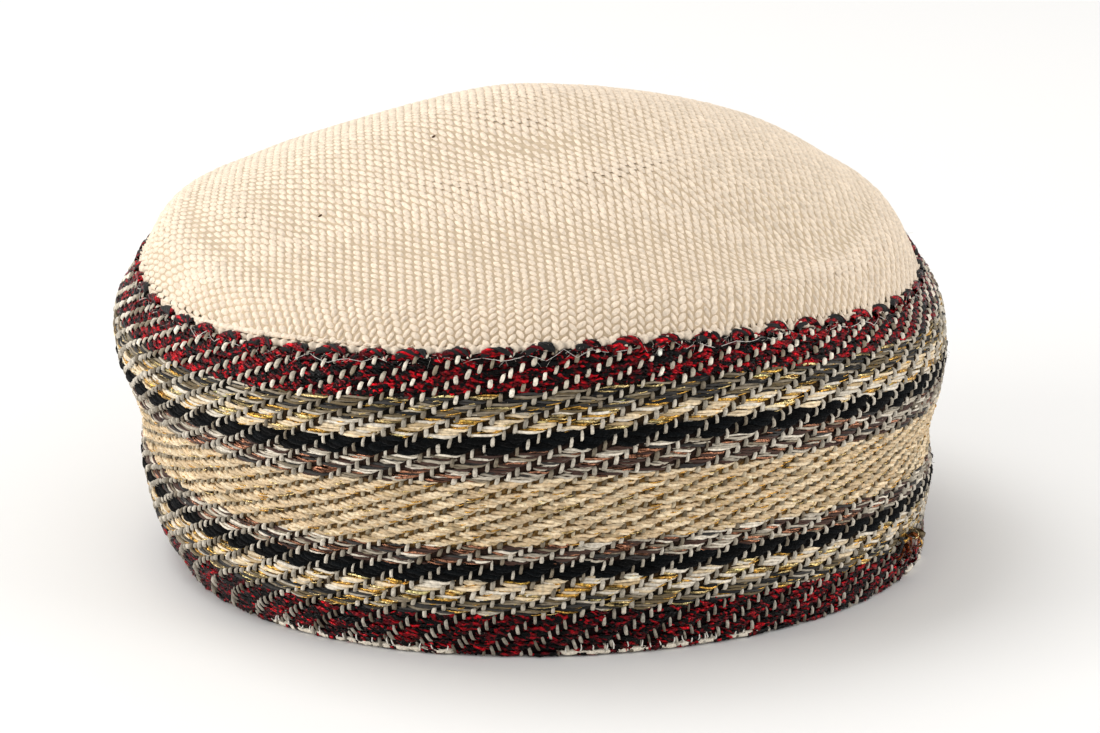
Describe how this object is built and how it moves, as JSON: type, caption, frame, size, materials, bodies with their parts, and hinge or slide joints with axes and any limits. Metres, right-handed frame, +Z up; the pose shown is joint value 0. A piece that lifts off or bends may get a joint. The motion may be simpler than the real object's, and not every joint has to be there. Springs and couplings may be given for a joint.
{
  "type": "woven skullcap",
  "caption": "Soft round skullcap with a domed cream cloth crown and a tall striped woven side band, open underneath for the head.",
  "frame": {"origin": "centre of the cap's box, on the surface its hem stands on", "axes": "+Z up through the crown; -Y is the cap's front as the picture shows it; +X is to the right as seen from the front"},
  "size_m": [0.1855, 0.1835, 0.1019],
  "materials": {
    "crown_cloth": "matt cream cotton, coarse ribbed plain weave of plied yarn",
    "band_weave": "coarse twill weave in off-white, red, black, copper brown and cream yarns with gold metallic threads",
    "facing_cloth": "matt cream cotton strip inside the hem"
  },
  "bodies": {
    "root": {"crown": "crown_cloth", "band": "band_weave", "hem_facing": "facing_cloth"}
  },
  "joints": []
}
